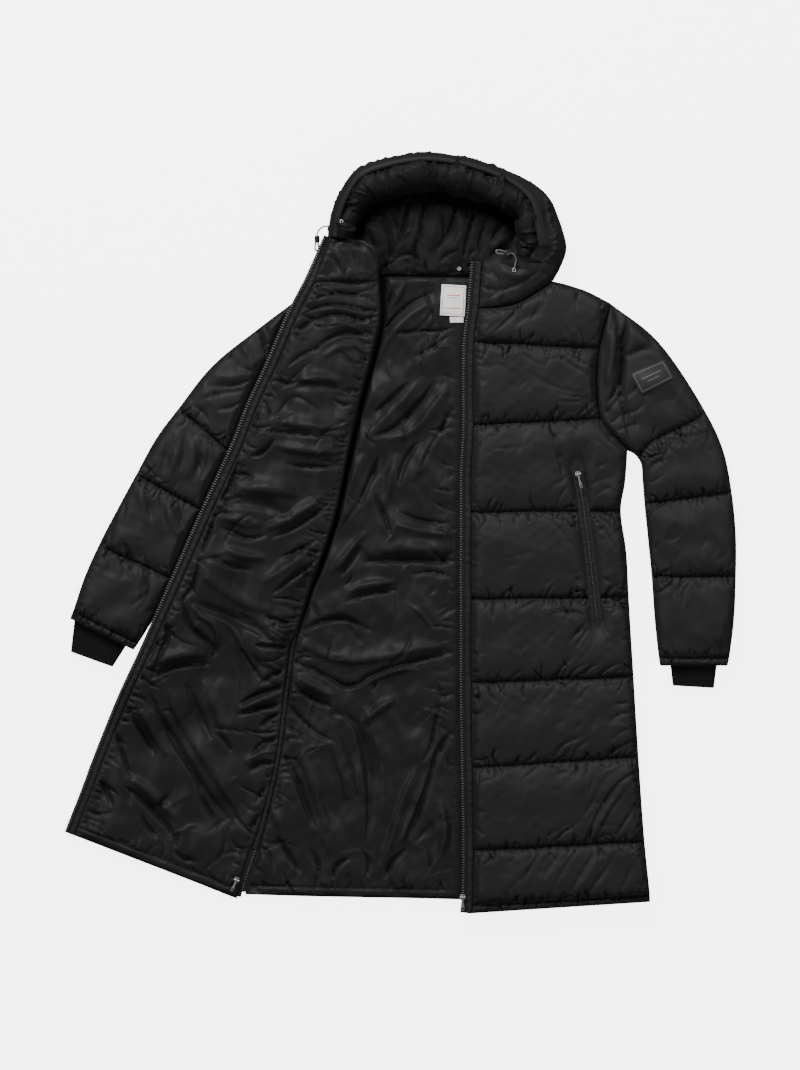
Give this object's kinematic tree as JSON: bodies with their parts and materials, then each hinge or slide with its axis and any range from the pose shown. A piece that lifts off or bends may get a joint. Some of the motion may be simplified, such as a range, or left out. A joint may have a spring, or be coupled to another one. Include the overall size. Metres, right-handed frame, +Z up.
{
  "type": "long hooded puffer coat",
  "caption": "Long black hooded puffer coat lying flat on its back, one front turned open to show the lining, with quilted channels, ribbed cuffs and zips.",
  "frame": {"origin": "on the surface, under the middle of the coat's outline", "axes": "+X towards the wearer's left, +Y towards the hood, +Z up from the surface it lies on"},
  "size_m": [1.1096, 1.256, 0.0762],
  "materials": {
    "shell": "soft satin polyester shell",
    "lining": "smooth taffeta lining with a light sheen",
    "rib_knit": "matte rib knit",
    "zip_tape": "woven polyester tape",
    "zip_metal": "plated zip metal",
    "label": "woven satin label",
    "patch": "woven patch",
    "cord": "elastic drawcord with plastic locks"
  },
  "bodies": {
    "coat": {"back_panel": "lining", "collar_left": "shell", "collar_right": "lining", "cord_lock_left": "cord", "cord_lock_right": "cord", "cord_loop_left": "cord", "cord_loop_right": "cord", "cord_run_left": "cord", "cord_run_right": "cord", "cuff_left": "rib_knit", "cuff_right": "rib_knit", "eyelet_left": "zip_metal", "eyelet_right": "zip_metal", "front_left": "shell", "front_right": "lining", "front_zip_slider": "zip_metal", "hood_back": "lining", "hood_facing": "lining", "hood_shell": "shell", "neck_label": "label", "neck_stud": "zip_metal", "placket_left": "shell", "placket_right": "shell", "pocket_welt_left": "shell", "pocket_zip_left": "zip_tape", "pocket_zip_slider": "zip_metal", "side_piping_right": "lining", "size_tag": "label", "sleeve_left_under": "shell", "sleeve_left_upper": "shell", "sleeve_patch": "patch", "sleeve_right_under": "shell", "sleeve_right_upper": "shell", "vent_tape_back": "zip_tape", "vent_tape_front": "zip_tape", "vent_zip_slider": "zip_metal", "zip_tape_left": "zip_tape", "zip_tape_right": "zip_tape"},
    "front_zip_tab": {"front_zip_pull": "zip_metal"},
    "pocket_zip_tab": {"pocket_zip_pull": "zip_metal"},
    "vent_zip_tab": {"vent_zip_pull": "zip_metal"}
  },
  "joints": [
    {"name": "front_zip_hinge", "type": "hinge", "parent": "coat", "child": "front_zip_tab", "pos_m": [0.10273, -0.60097, 0.02641], "axis": [-0.9994, -0.0349, 0], "range_deg": [0, 150]},
    {"name": "pocket_zip_hinge", "type": "hinge", "parent": "coat", "child": "pocket_zip_tab", "pos_m": [0.29273, 0.09703, 0.04135], "axis": [-0.9703, -0.2419, 0], "range_deg": [0, 150]},
    {"name": "vent_zip_hinge", "type": "hinge", "parent": "coat", "child": "vent_zip_tab", "pos_m": [-0.27077, -0.57297, 0.0184], "axis": [-0.9135, 0.4067, 0], "range_deg": [0, 150]}
  ]
}
